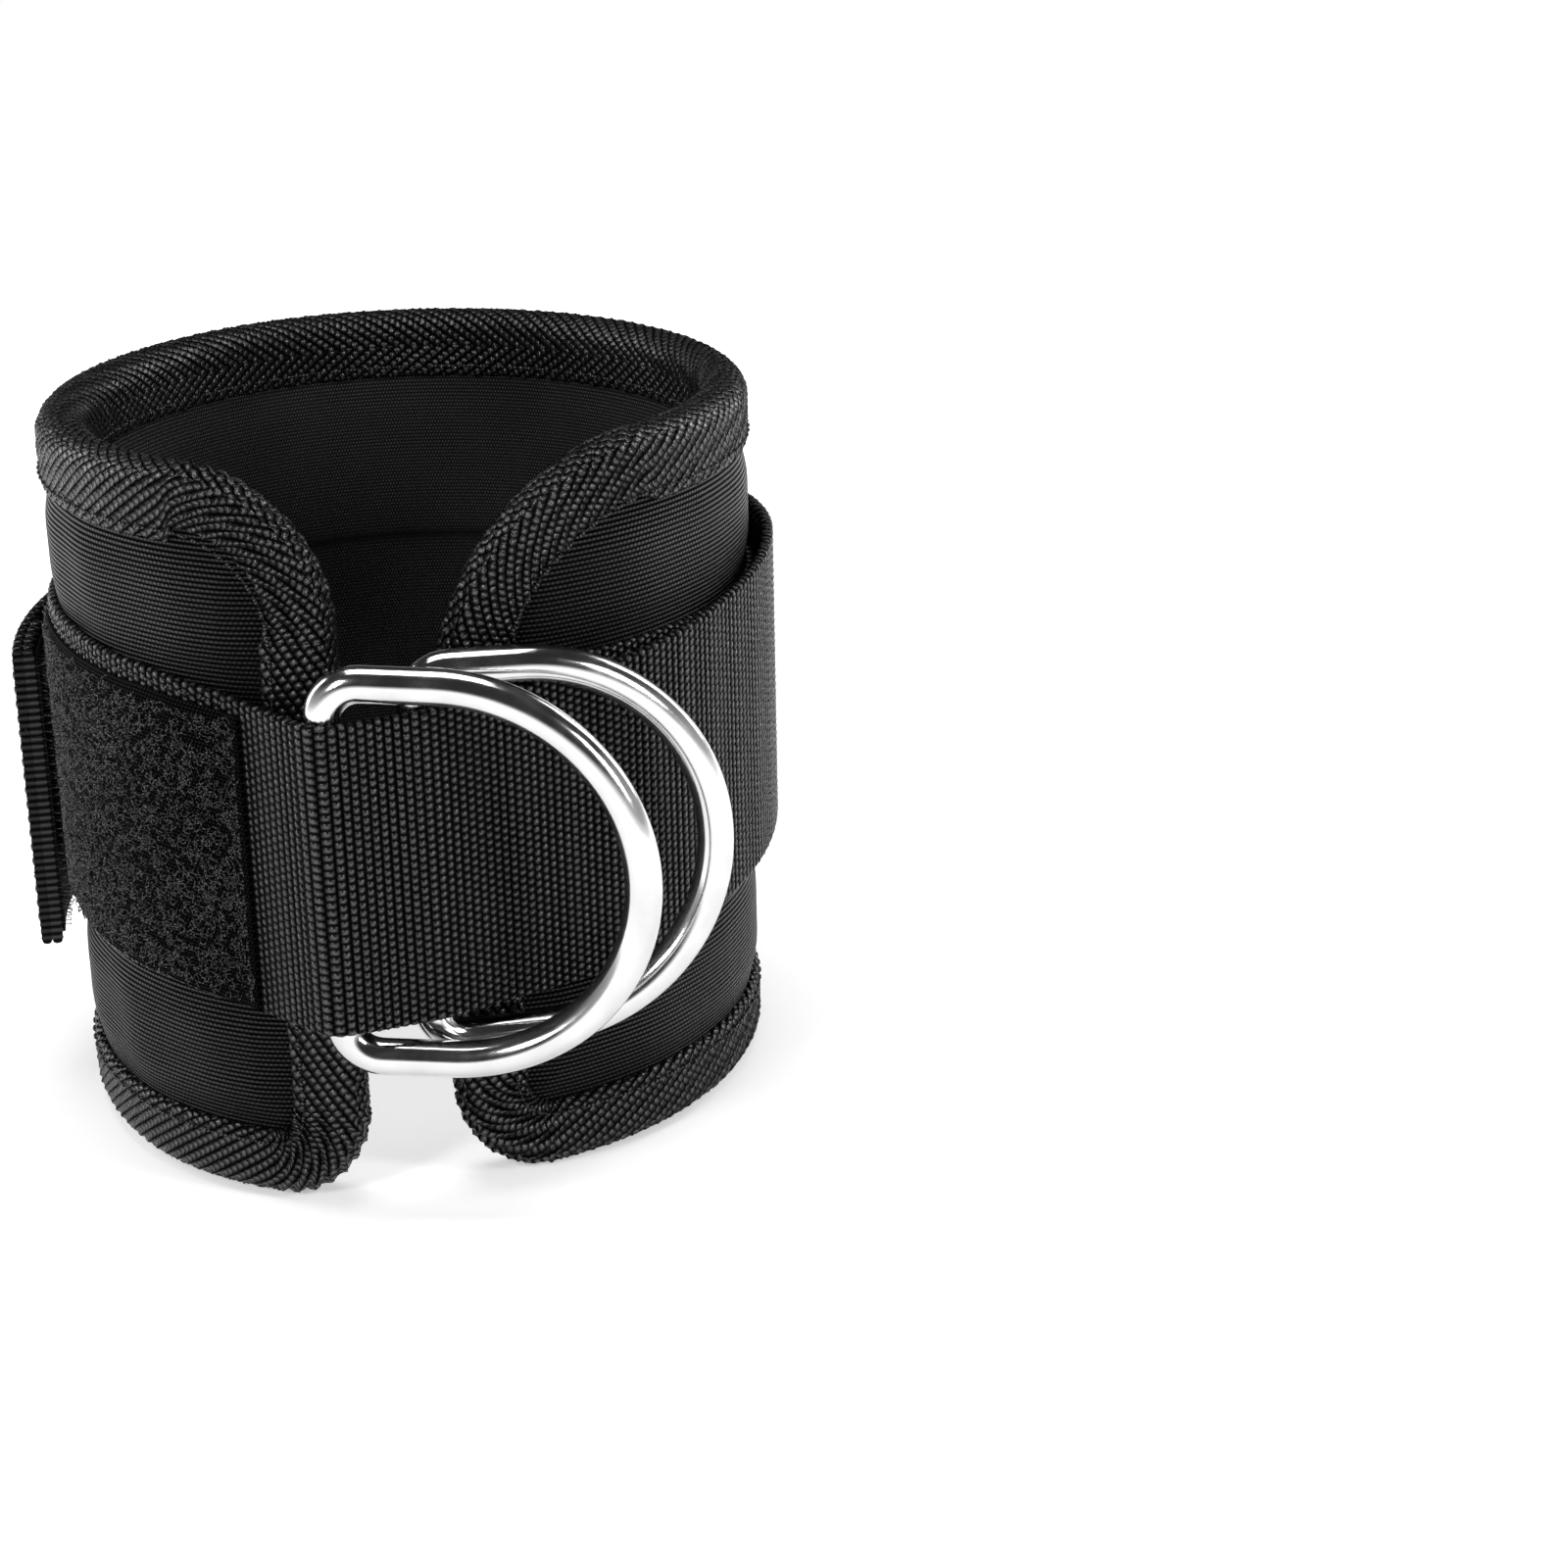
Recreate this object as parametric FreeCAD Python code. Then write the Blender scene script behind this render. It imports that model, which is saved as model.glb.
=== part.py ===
import FreeCAD, Part
import math
import os

# Padded ankle cuff for a cable machine: a C-shaped padded band with a bound edge,
# a webbing strap that is sewn round it and then wraps round it a second time,
# two D-rings threaded on the strap, and a hook-and-loop closure.
# Millimetres, +Z up.  The cuff stands on the floor (Z = 0) and the ankle opening
# runs along Z through the origin.  The gap between the two flaps faces -Y.

os.makedirs("parts", exist_ok=True)

# ---- pad ------------------------------------------------------------------
HEIGHT = 102.5
FACE_FABRIC = 0.7
LINING = 0.7
PAD_THICK = 5.0
BACK_START = (1.0, 54.8)      # middle of the back, on the outer face
BACK_RADIUS = 45.0
BACK_SWEEP = 42.0             # degrees to either side of the middle
RIGHT_RADIUS = 55.0
RIGHT_SWEEP = 91.0
RIGHT_FRONT_RADIUS = 48.6
LEFT_RADIUS = 61.3
LEFT_SWEEP = 78.6
LEFT_FRONT_RADIUS = 44.0
LEFT_END_X = -9.2             # vertical edges of the two flaps, binding included
RIGHT_END_X = 3.0
LEFT_TOP_CORNER = 22.0
LEFT_BOTTOM_CORNER = 13.0
RIGHT_TOP_CORNER = 34.0
RIGHT_BOTTOM_CORNER = 14.0

# ---- edge binding ---------------------------------------------------------
TAPE = 1.0
BINDING_WIDTH = 10.0
STITCH_PROUD = 0.25
STITCH_WIDTH = 0.8

# ---- strap ----------------------------------------------------------------
WEB_THICK = 1.5
WEB_WIDTH = 45.0
CROSSING_WIDTH = 43.0          # pulled a little narrower over the ring bars
SEWN_CENTRE_Z = 52.0
CROSSING_CENTRE_Z = 50.0
RIGHT_SIDE_CENTRE_Z = 57.5
TIP_CENTRE_Z = 45.0
SEWN_START = -72.0            # degrees, cut end on the right flap
SEWN_END = 247.0              # degrees, where the strap leaves the left flap
LINK_GAP = 0.4
LINK_COUNT = 8
WRAP_START = -55.0
TIP_START = 146.0
TIP_END = 187.0

# ---- loop and hook tapes --------------------------------------------------
LOOP_THICK = 1.3
LOOP_WIDTH = 40.0
LOOP_START = 168.0
LOOP_END = 246.0
HOOK_THICK = 1.1
HOOK_WIDTH = 40.0
HEM_LENGTH = 13.0             # degrees of the folded double end

# ---- D-rings --------------------------------------------------------------
WIRE = 5.0
RING_RADIUS = 26.1            # of the wire's centre line
RING_STRAIGHT = 14.4          # from the bar to the centre of the round end
RING_CORNER = 4.3
RING_CENTRE_Z = 50.3
FRONT_BAR = (-11.2, -58.9)
REAR_BAR = (0.4, -55.6)
FRONT_RING_TURN = -7.5        # degrees from +X, rest position
REAR_RING_TURN = 12.0
BAR_CLEARANCE = 0.3

# ---- outer wrap: circles the second turn of the strap lies on --------------
WRAP_FRONT_STANDOFF = 1.9
WRAP_RIGHT = ((0.0, 3.0), 52.3)
WRAP_BACK = ((0.5, 11.0), 47.0)
WRAP_LEFT = ((2.5, -1.0), 58.0)


def unit(angle):
    """Unit vector at an angle in degrees, measured from +X."""
    return math.cos(math.radians(angle)), math.sin(math.radians(angle))


def next_circle(circle, angle, radius):
    """The circle that takes over smoothly from another one at a normal angle."""
    (cx, cy), old = circle
    nx, ny = unit(angle)
    return (cx + (old - radius) * nx, cy + (old - radius) * ny), radius


BACK = ((BACK_START[0], BACK_START[1] - BACK_RADIUS), BACK_RADIUS)
RIGHT = next_circle(BACK, 90.0 - BACK_SWEEP, RIGHT_RADIUS)
RIGHT_FRONT = next_circle(RIGHT, 90.0 - BACK_SWEEP - RIGHT_SWEEP, RIGHT_FRONT_RADIUS)
LEFT = next_circle(BACK, 90.0 + BACK_SWEEP, LEFT_RADIUS)
LEFT_FRONT = next_circle(LEFT, 90.0 + BACK_SWEEP + LEFT_SWEEP, LEFT_FRONT_RADIUS)
PAD_CIRCLES = [RIGHT_FRONT, RIGHT, BACK, LEFT, LEFT_FRONT]

WRAP_FRONT = (RIGHT_FRONT[0], RIGHT_FRONT[1] + WRAP_FRONT_STANDOFF)
WRAP_CIRCLES = [WRAP_FRONT, WRAP_RIGHT, WRAP_BACK, WRAP_LEFT]
BAR_RADIUS = WIRE / 2.0 + BAR_CLEARANCE


def tangent_angle(first, second):
    """Normal angle of the line that touches both circles, going anticlockwise."""
    (x1, y1), r1 = first
    (x2, y2), r2 = second
    distance = math.hypot(x2 - x1, y2 - y1)
    along = math.degrees(math.atan2(y2 - y1, x2 - x1))
    tilt = math.degrees(math.acos(max(-1.0, min(1.0, (r1 - r2) / distance))))
    return along - tilt


def circle_point(circle, angle, offset):
    """A point on a circle grown by an offset."""
    (cx, cy), radius = circle
    nx, ny = unit(angle)
    return cx + (radius + offset) * nx, cy + (radius + offset) * ny


def on_circle(circle, angle, offset):
    x, y = circle_point(circle, angle, offset)
    return FreeCAD.Vector(x, y, 0)


def forward(angle, reference):
    """The same angle, shifted by whole turns to lie just after a reference."""
    while angle < reference - 180.0:
        angle += 360.0
    while angle > reference + 180.0:
        angle -= 360.0
    return angle


def arc_spans(circles, start, end):
    """Circle, first angle and last angle for each arc of a belt round the circles."""
    spans = []
    angle = start
    for here, following in zip(circles, circles[1:]):
        leave = forward(tangent_angle(here, following), angle)
        spans.append((here, angle, leave))
        angle = leave
    spans.append((circles[-1], angle, end))
    return spans


def belt_edges(circles, start, end, offset):
    """Arcs and joining lines of a belt at an offset outside its circles."""
    edges = []
    last = None
    for circle, first, final in arc_spans(circles, start, end):
        points = [on_circle(circle, a, offset) for a in (first, (first + final) / 2.0, final)]
        if last is not None and last.distanceToPoint(points[0]) > 1e-4:
            edges.append(Part.makeLine(last, points[0]))
        elif last is not None:
            points[0] = last
        if final - first > 0.01:
            edges.append(Part.Arc(*points).toShape())
        last = points[2]
    return edges


def band(circles, start, end, inner, outer, low, high):
    """A strip standing on edge, between two offsets of a belt and two heights."""
    inside = belt_edges(circles, start, end, inner)
    outside = belt_edges(circles, start, end, outer)
    first_in, last_in = on_circle(circles[0], start, inner), inside[-1].Vertexes[-1].Point
    first_out, last_out = on_circle(circles[0], start, outer), outside[-1].Vertexes[-1].Point
    ends = [Part.makeLine(first_in, first_out), Part.makeLine(last_in, last_out)]
    wire = Part.Wire(Part.__sortEdges__(inside + outside + ends))
    face = Part.Face(wire)
    face.translate(FreeCAD.Vector(0, 0, low))
    solid = face.extrude(FreeCAD.Vector(0, 0, high - low))
    return solid


def part_of(circles, start, end):
    """The circles a belt still touches between two normal angles."""
    kept = []
    angle = start
    for index, circle in enumerate(circles):
        leave = end
        if index + 1 < len(circles):
            leave = forward(tangent_angle(circle, circles[index + 1]), angle)
        if leave > start + 0.5 and angle < end - 0.5:
            kept.append(circle)
        angle = max(angle, leave) if index + 1 < len(circles) else angle
    return kept


def corner_arc(centre_x, centre_z, radius, first, final):
    points = []
    for angle in (first, (first + final) / 2.0, final):
        ux, uz = unit(angle)
        points.append(FreeCAD.Vector(centre_x + radius * ux, 0, centre_z + radius * uz))
    return Part.Arc(*points).toShape()


def flap_gap(inset):
    """The space between the flaps seen from the front, widened by an inset."""
    left_x, right_x = LEFT_END_X - inset, RIGHT_END_X + inset
    low, high = inset, HEIGHT - inset
    radii = [r - inset for r in (LEFT_BOTTOM_CORNER, LEFT_TOP_CORNER,
                                 RIGHT_TOP_CORNER, RIGHT_BOTTOM_CORNER)]
    radii = [max(r, 3.0) for r in radii]
    arcs = [
        corner_arc(left_x - radii[0], low + radii[0], radii[0], -90.0, 0.0),
        corner_arc(left_x - radii[1], high - radii[1], radii[1], 0.0, 90.0),
        corner_arc(right_x + radii[2], high - radii[2], radii[2], 90.0, 180.0),
        corner_arc(right_x + radii[3], low + radii[3], radii[3], 180.0, 270.0),
    ]
    edges = []
    for index, arc in enumerate(arcs):
        edges.append(arc)
        following = arcs[(index + 1) % 4]
        edges.append(Part.makeLine(arc.Vertexes[-1].Point, following.Vertexes[0].Point))
    face = Part.Face(Part.Wire(Part.__sortEdges__(edges)))
    return face.extrude(FreeCAD.Vector(0, -90.0, 0))


def pad_layer(inner, outer, inset):
    """One curved layer of the pad, its outline set in from the bound edge."""
    layer = band(PAD_CIRCLES, -88.0, 268.0, inner, outer, inset, HEIGHT - inset)
    return layer.cut(flap_gap(inset))


def edge_frame(inner, outer, outer_inset, inner_inset):
    """A closed frame that follows the pad's edge, between two insets."""
    return pad_layer(inner, outer, outer_inset).cut(pad_layer(inner - 1.0, outer + 1.0, inner_inset))


def foam_core():
    return pad_layer(-PAD_THICK + LINING, -FACE_FABRIC, TAPE)


def face_fabric():
    return pad_layer(-FACE_FABRIC, 0.0, TAPE)


def inner_lining():
    return pad_layer(-PAD_THICK, -PAD_THICK + LINING, TAPE)


def edge_binding():
    frame = edge_frame(-PAD_THICK - TAPE, TAPE, 0.0, BINDING_WIDTH)
    return frame.cut(pad_layer(-PAD_THICK, 0.0, TAPE))


def binding_stitching(inner, outer):
    return edge_frame(inner, outer, BINDING_WIDTH - 1.5 - STITCH_WIDTH, BINDING_WIDTH - 1.5)


def strap_strip(circles, start, end, centre_z, width=WEB_WIDTH):
    half = width / 2.0
    return band(circles, start, end, 0.0, WEB_THICK, centre_z - half, centre_z + half)


def sewn_strap():
    return strap_strip(PAD_CIRCLES, SEWN_START, SEWN_END, SEWN_CENTRE_Z)


def sewn_strap_stitching(side):
    height = SEWN_CENTRE_Z + side * (WEB_WIDTH / 2.0 - 2.0)
    return band(PAD_CIRCLES, SEWN_START + 2.0, SEWN_END - 1.0, WEB_THICK,
                WEB_THICK + STITCH_PROUD, height - STITCH_WIDTH / 2.0, height + STITCH_WIDTH / 2.0)


def upright_tacks(circles, base, height, centre_z, angles):
    """Upright rows of tacking stitches across the strap."""
    rows = []
    for angle in angles:
        rows.append(band(circles, angle, angle + 0.9, base, base + STITCH_PROUD,
                         centre_z - height / 2.0, centre_z + height / 2.0))
    return Part.makeCompound(rows)


def loop_tape():
    half = LOOP_WIDTH / 2.0
    return band(PAD_CIRCLES[3:], LOOP_START, LOOP_END, WEB_THICK, WEB_THICK + LOOP_THICK,
                SEWN_CENTRE_Z - half, SEWN_CENTRE_Z + half)


def strap_crossing():
    """The strap over both D-ring bars, from the left flap to the right flap."""
    foot = (circle_point(LEFT_FRONT, SEWN_END + 1.0, TAPE + LINK_GAP), 0.0)
    circles = [foot, (FRONT_BAR, BAR_RADIUS), (REAR_BAR, BAR_RADIUS), WRAP_FRONT]
    start = tangent_angle(foot, circles[1])
    return strap_strip(circles, start, WRAP_START - 0.3, CROSSING_CENTRE_Z, CROSSING_WIDTH)


def wrap_angles():
    """Normal angles at which the wrapped turn of the strap is divided into links."""
    step = (TIP_START - WRAP_START) / LINK_COUNT
    return [WRAP_START + step * index for index in range(LINK_COUNT + 1)]


def wrap_height(angle):
    """Mid-height of the strap: it climbs over the right side and sinks to the tip."""
    if angle < 0.0:
        share = (angle - WRAP_START) / (0.0 - WRAP_START)
        return CROSSING_CENTRE_Z + share * (RIGHT_SIDE_CENTRE_Z - CROSSING_CENTRE_Z)
    share = angle / TIP_END
    return RIGHT_SIDE_CENTRE_Z + share * (TIP_CENTRE_Z - RIGHT_SIDE_CENTRE_Z)


def wrap_link(first, last):
    trim = math.degrees(LINK_GAP / 2.0 / WRAP_BACK[1])
    circles = part_of(WRAP_CIRCLES, first, last)
    return strap_strip(circles, first + trim, last - trim, wrap_height((first + last) / 2.0))


def tip_band(start, end, inner, outer, width):
    centre = TIP_CENTRE_Z
    return band([WRAP_LEFT], start, end, inner, outer, centre - width / 2.0, centre + width / 2.0)


def d_ring(bar, turn):
    """A round wire bent to a D: upright bar, two short arms and a half-circle end."""
    r, length, c = RING_RADIUS, RING_STRAIGHT, RING_CORNER
    bend = c * (1.0 - math.sqrt(0.5))

    def vec(u, v):
        return FreeCAD.Vector(u, 0, v)

    edges = [
        Part.makeLine(vec(0, -r + c), vec(0, r - c)),
        Part.Arc(vec(0, r - c), vec(bend, r - bend), vec(c, r)).toShape(),
        Part.makeLine(vec(c, r), vec(length, r)),
        Part.Arc(vec(length, r), vec(length + r, 0), vec(length, -r)).toShape(),
        Part.makeLine(vec(length, -r), vec(c, -r)),
        Part.Arc(vec(c, -r), vec(bend, -r + bend), vec(0, -r + c)).toShape(),
    ]
    path = Part.Wire(edges)
    section = Part.Wire([Part.makeCircle(WIRE / 2.0, vec(0, -r + c), FreeCAD.Vector(0, 0, 1))])
    ring = path.makePipeShell([section], True, True)
    ring.rotate(FreeCAD.Vector(0, 0, 0), FreeCAD.Vector(0, 0, 1), turn)
    ring.translate(FreeCAD.Vector(bar[0], bar[1], RING_CENTRE_Z))
    return ring


def export(name, shape):
    shape.exportStep("parts/%s.step" % name)


# ---- pad and its binding ---------------------------------------------------
export("foam_core", foam_core())
export("face_fabric", face_fabric())
export("inner_lining", inner_lining())
export("edge_binding", edge_binding())
export("binding_stitch_outer", binding_stitching(TAPE, TAPE + STITCH_PROUD))
export("binding_stitch_inner",
       binding_stitching(-PAD_THICK - TAPE - STITCH_PROUD, -PAD_THICK - TAPE))

# ---- sewn part of the strap and the loop tape ------------------------------
export("strap_sewn", sewn_strap())
export("strap_stitch_top", sewn_strap_stitching(1.0))
export("strap_stitch_bottom", sewn_strap_stitching(-1.0))
export("strap_end_tack", upright_tacks(PAD_CIRCLES[:1], WEB_THICK, 36.0, SEWN_CENTRE_Z,
                                       (SEWN_START + 3.0, SEWN_START + 6.0)))
export("loop_tape", loop_tape())
export("loop_tack", upright_tacks(PAD_CIRCLES[4:], WEB_THICK + LOOP_THICK, LOOP_WIDTH - 3.0,
                                  SEWN_CENTRE_Z, (LOOP_END - 2.0,)))

# ---- free part of the strap ------------------------------------------------
export("strap_crossing", strap_crossing())
angles = wrap_angles()
for number in range(LINK_COUNT):
    export("strap_wrap_%d" % (number + 1), wrap_link(angles[number], angles[number + 1]))
export("strap_tip", tip_band(TIP_START + 0.2, TIP_END, 0.0, WEB_THICK, WEB_WIDTH))
export("tip_fold", tip_band(TIP_END - HEM_LENGTH, TIP_END, -WEB_THICK, 0.0, WEB_WIDTH))
export("hook_tape", tip_band(TIP_START + 3.0, TIP_END - HEM_LENGTH - 0.2, -HOOK_THICK, 0.0,
                             HOOK_WIDTH))
export("tip_hem_stitch", upright_tacks([WRAP_LEFT], WEB_THICK, WEB_WIDTH - 6.0, TIP_CENTRE_Z,
                                       (TIP_END - 3.0, TIP_END - HEM_LENGTH + 1.0)))

# ---- D-rings ---------------------------------------------------------------
export("d_ring_front", d_ring(FRONT_BAR, FRONT_RING_TURN))
export("d_ring_rear", d_ring(REAR_BAR, REAR_RING_TURN))
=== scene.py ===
import math

import bpy
import numpy as np
from mathutils import Matrix, Vector


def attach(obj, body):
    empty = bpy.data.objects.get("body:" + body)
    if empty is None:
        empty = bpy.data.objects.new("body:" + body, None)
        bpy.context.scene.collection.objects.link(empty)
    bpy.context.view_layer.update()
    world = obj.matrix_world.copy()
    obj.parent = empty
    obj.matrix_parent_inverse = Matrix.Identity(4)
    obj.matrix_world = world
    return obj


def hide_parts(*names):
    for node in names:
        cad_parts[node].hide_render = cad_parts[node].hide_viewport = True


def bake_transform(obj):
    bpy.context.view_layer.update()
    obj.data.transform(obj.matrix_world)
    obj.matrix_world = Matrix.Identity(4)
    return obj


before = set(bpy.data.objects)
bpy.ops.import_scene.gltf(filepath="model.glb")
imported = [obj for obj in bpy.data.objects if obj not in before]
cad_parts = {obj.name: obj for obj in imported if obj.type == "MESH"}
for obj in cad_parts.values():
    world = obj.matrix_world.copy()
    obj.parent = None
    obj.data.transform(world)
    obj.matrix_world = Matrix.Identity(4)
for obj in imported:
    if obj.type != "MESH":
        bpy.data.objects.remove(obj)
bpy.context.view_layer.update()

# Looks for the padded ankle cuff.  Lengths are in millimetres until a mesh is made;
# every mesh is then written in metres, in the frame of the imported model.

MM = 0.001

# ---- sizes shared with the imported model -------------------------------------
HEIGHT = 102.5
PAD_THICK = 5.0
TAPE = 1.0
BINDING_WIDTH = 10.0
LEFT_END_X = -9.2
RIGHT_END_X = 3.0
RIGHT_BOTTOM_CORNER, RIGHT_TOP_CORNER = 14.0, 34.0
LEFT_TOP_CORNER, LEFT_BOTTOM_CORNER = 22.0, 13.0
WEB_THICK = 1.5
WEB_WIDTH = 45.0
# places along the pad and the strap are the angles of their outward normals, in degrees
SEWN_START, SEWN_END = -72.0, 247.0
WRAP_START, TIP_START, TIP_END = -55.0, 146.0, 187.0
LOOP_START = 168.0
LINK_COUNT = 8
LINK_GAP = 0.4
SEWN_CENTRE_Z = 52.0
HEM_LENGTH = 13.0
WIRE = 5.0
RING_RADIUS, RING_STRAIGHT = 26.1, 14.4
RING_CENTRE_Z = 50.3
FRONT_BAR, FRONT_RING_TURN = (-11.2, -58.9), -7.5
REAR_BAR, REAR_RING_TURN = (0.4, -55.6), 12.0
BAR_RADIUS = WIRE / 2.0 + 0.3
BACK_START = (1.0, 54.8)
BACK_RADIUS, BACK_SWEEP = 45.0, 42.0
RIGHT_RADIUS, RIGHT_SWEEP, RIGHT_FRONT_RADIUS = 55.0, 91.0, 48.6
LEFT_RADIUS, LEFT_SWEEP, LEFT_FRONT_RADIUS = 61.3, 78.6, 44.0
WRAP_FRONT_STANDOFF = 1.9
WRAP_RIGHT = ((0.0, 3.0), 52.3)
WRAP_BACK = ((0.5, 11.0), 47.0)
WRAP_LEFT = ((2.5, -1.0), 58.0)

# ---- sizes of the looks -------------------------------------------------------
RING_CORNER = 5.0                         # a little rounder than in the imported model
RING_DROOP = -3.0                         # degrees the free ends hang down
RIM_RADIUS = PAD_THICK / 2.0 + TAPE       # round outer edge of the folded tape
COLUMN_PITCH, ROW_PITCH = 1.2, 1.1        # webbing: along and across the strap
TWILL_PITCH, TWILL_BEAD = 1.35, 1.15      # binding: between cords and along a cord
TWILL_ZONE = 10.0                         # width of tape before the cords turn back
TWILL_ANGLE = math.radians(33.0)
RIB_PITCH, LOOP_PITCH = 0.68, 0.7         # outer knit: between ribs and along a rib
LINING_PITCH = 0.55
CREASE_Z = 66.5                           # a fold line in the lining: a dent in the bump, and painted shade darkening the colour along it
WEB_RELIEF = 0.30                         # how far threads stand up in the strap's mesh
TWILL_RELIEF = 0.42                       # how deep the weave is cut into the binding's mesh
THREAD_STEP = 0.42                        # mesh step that still shows single threads
PAD_STEP = 1.25
PAD_SWELL, EDGE_PRESS = 0.9, 0.35         # foam between the tapes, and foam under the binding
PUCKER_PITCH = 2.4                        # between the small folds across the binding
STITCH_RADIUS = 0.2
HAIR_COUNT, HAIR_RADIUS = 5400, 0.062     # hairs on the loop tape
HOOK_ROW_PITCH, HOOK_COLUMN_PITCH, HOOK_RADIUS = 1.3, 1.25, 0.07
RING_STEPS, WIRE_SIDES = 320, 48          # points along a ring's wire and around it
FLOOR_HALF = 60000.0
FLOOR_GLOW = 0.9                          # full strength, far from the cuff
GLOW_MIDDLE, GLOW_RISE = 0.38, 1.1        # share of it at the axis, and rise per metre

rng = np.random.default_rng(11)


# ---- numbers that are either arrays or shader nodes ----------------------------
class Field:
    """A number that varies over a surface, built up from math nodes."""

    def __init__(self, tree, socket):
        self.tree = tree
        self.socket = socket

    def math(self, operation, *others):
        node = self.tree.nodes.new("ShaderNodeMath")
        node.operation = operation
        for place, value in enumerate((self, *others)):
            if isinstance(value, Field):
                self.tree.links.new(value.socket, node.inputs[place])
            else:
                node.inputs[place].default_value = value
        return Field(self.tree, node.outputs[0])

    def __add__(self, other):
        return self.math("ADD", other)

    def __sub__(self, other):
        return self.math("SUBTRACT", other)

    def __mul__(self, other):
        return self.math("MULTIPLY", other)

    __radd__ = __add__
    __rmul__ = __mul__


def sine(x):
    return x.math("SINE") if isinstance(x, Field) else np.sin(x)


def whole(x):
    return x.math("FLOOR") if isinstance(x, Field) else np.floor(x)


def power(x, exponent):
    return x.math("POWER", exponent) if isinstance(x, Field) else np.power(x, exponent)


def absolute(x):
    return x.math("ABSOLUTE") if isinstance(x, Field) else np.abs(x)


def ridge(x):
    """Rounded ridges, 0 at every whole number and 1 half-way between."""
    return absolute(sine(x * math.pi))


def parity(x):
    """0 on even whole steps of x and 1 on odd ones."""
    step = whole(x)
    return step + whole(step * 0.5) * -2.0


def smooth(x, low, high):
    """0 below low, 1 above high, and a smooth step between (arrays only)."""
    t = np.clip((x - low) / (high - low), 0.0, 1.0)
    return t * t * (3.0 - 2.0 * t)


# ---- weaves: the height of the threads, 0 to 1, at a place in millimetres --------
def webbing_weave(u, v):
    column = u * (1.0 / COLUMN_PITCH)
    row = v * (1.0 / ROW_PITCH) + parity(column) * 0.5
    return power(ridge(column), 0.6) * (0.35 + 0.65 * power(ridge(row), 0.8))


def twill_weave(u, v):
    lean = 1.0 + parity(v * (1.0 / TWILL_ZONE)) * -2.0
    across = (v * math.cos(TWILL_ANGLE) - lean * u * math.sin(TWILL_ANGLE)) * (1.0 / TWILL_PITCH)
    along = (u * math.cos(TWILL_ANGLE) + lean * v * math.sin(TWILL_ANGLE)) * (1.0 / TWILL_BEAD)
    bead = ridge(along + whole(across) * 0.5)
    return power(ridge(across), 0.7) * (0.4 + 0.6 * power(bead, 0.8))


def knit_weave(u, v):
    rib = v * (1.0 / RIB_PITCH)
    loop = ridge(u * (1.0 / LOOP_PITCH) + whole(rib) * 0.5)
    return power(ridge(rib), 0.9) * (0.72 + 0.28 * loop)


def lining_weave(u, v):
    row = v * (1.0 / LINING_PITCH)
    # the fold dents the bump and darkens the colour along it, which is painted shade
    crease_dent_and_shade = power(absolute(v - CREASE_Z) + 0.35, -2.0) * -0.25
    return ridge(row) * ridge(u * (1.0 / LINING_PITCH) + parity(row) * 0.5) + crease_dent_and_shade


def thread_weave(u, v):
    return ridge(u * 1.2 + v * 0.6)


# ---- curves seen from above ------------------------------------------------------
def unit(angle):
    return math.cos(math.radians(angle)), math.sin(math.radians(angle))


def next_circle(circle, angle, radius):
    """The circle that takes over smoothly from another one at a normal angle."""
    (cx, cy), old = circle
    nx, ny = unit(angle)
    return (cx + (old - radius) * nx, cy + (old - radius) * ny), radius


def circle_point(circle, angle, offset):
    (cx, cy), radius = circle
    nx, ny = unit(angle)
    return cx + (radius + offset) * nx, cy + (radius + offset) * ny


def tangent_angle(first, second):
    """Normal angle of the line that touches both circles, going anticlockwise."""
    (x1, y1), r1 = first
    (x2, y2), r2 = second
    along = math.degrees(math.atan2(y2 - y1, x2 - x1))
    tilt = math.degrees(math.acos((r1 - r2) / math.hypot(x2 - x1, y2 - y1)))
    return along - tilt


BACK = ((BACK_START[0], BACK_START[1] - BACK_RADIUS), BACK_RADIUS)
RIGHT = next_circle(BACK, 90.0 - BACK_SWEEP, RIGHT_RADIUS)
RIGHT_FRONT = next_circle(RIGHT, 90.0 - BACK_SWEEP - RIGHT_SWEEP, RIGHT_FRONT_RADIUS)
LEFT = next_circle(BACK, 90.0 + BACK_SWEEP, LEFT_RADIUS)
LEFT_FRONT = next_circle(LEFT, 90.0 + BACK_SWEEP + LEFT_SWEEP, LEFT_FRONT_RADIUS)
PAD_CIRCLES = [RIGHT_FRONT, RIGHT, BACK, LEFT, LEFT_FRONT]
WRAP_FRONT = (RIGHT_FRONT[0], RIGHT_FRONT[1] + WRAP_FRONT_STANDOFF)
FOOT = (circle_point(LEFT_FRONT, SEWN_END + 1.0, TAPE + LINK_GAP), 0.0)
CROSSING_CIRCLES = [FOOT, (FRONT_BAR, BAR_RADIUS), (REAR_BAR, BAR_RADIUS), WRAP_FRONT]
FREE_CIRCLES = CROSSING_CIRCLES + [WRAP_RIGHT, WRAP_BACK, WRAP_LEFT]


def belt_points(circles, start, end):
    """Points and normal angles of a belt round circles, anticlockwise, about 1 degree apart."""
    points, angles = [], []
    angle = start
    for index, circle in enumerate(circles):
        leave = end
        if index + 1 < len(circles):
            leave = tangent_angle(circle, circles[index + 1])
            while leave < angle - 180.0:
                leave += 360.0
            while leave > angle + 180.0:
                leave -= 360.0
        count = max(2, int(abs(leave - angle)) + 1)
        for step in np.linspace(angle, leave, count):
            points.append(circle_point(circle, step, 0.0))
            angles.append(step)
        angle = leave
    return np.array(points), np.array(angles)


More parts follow.
